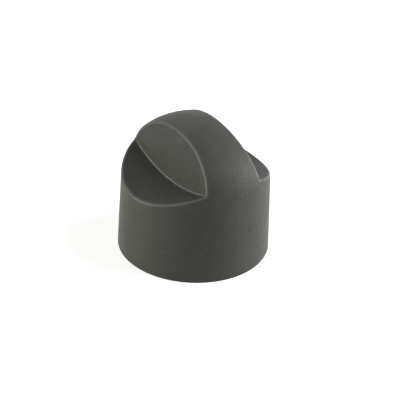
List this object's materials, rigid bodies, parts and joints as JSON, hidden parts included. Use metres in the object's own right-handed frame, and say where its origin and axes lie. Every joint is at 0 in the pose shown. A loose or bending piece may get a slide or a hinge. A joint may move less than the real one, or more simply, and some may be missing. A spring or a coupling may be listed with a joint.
{
  "type": "espresso machine steam knob",
  "caption": "Round push-on knob: domed grip between finger scoops, hollow skirt, and a split hub that a spring ring closes on a flatted valve spindle.",
  "frame": {"origin": "on the spindle axis, in the plane of the skirt's rim", "axes": "+Z along the spindle axis, from the rim to the top of the grip; X along the grip; the flat of the socket is on the +Y side"},
  "size_m": [0.04, 0.04, 0.0363],
  "materials": {
    "knob_plastic": "matte",
    "spring_steel": "satin"
  },
  "bodies": {
    "root": {"knob_body": "knob_plastic", "hub_ring": "spring_steel"}
  },
  "joints": []
}
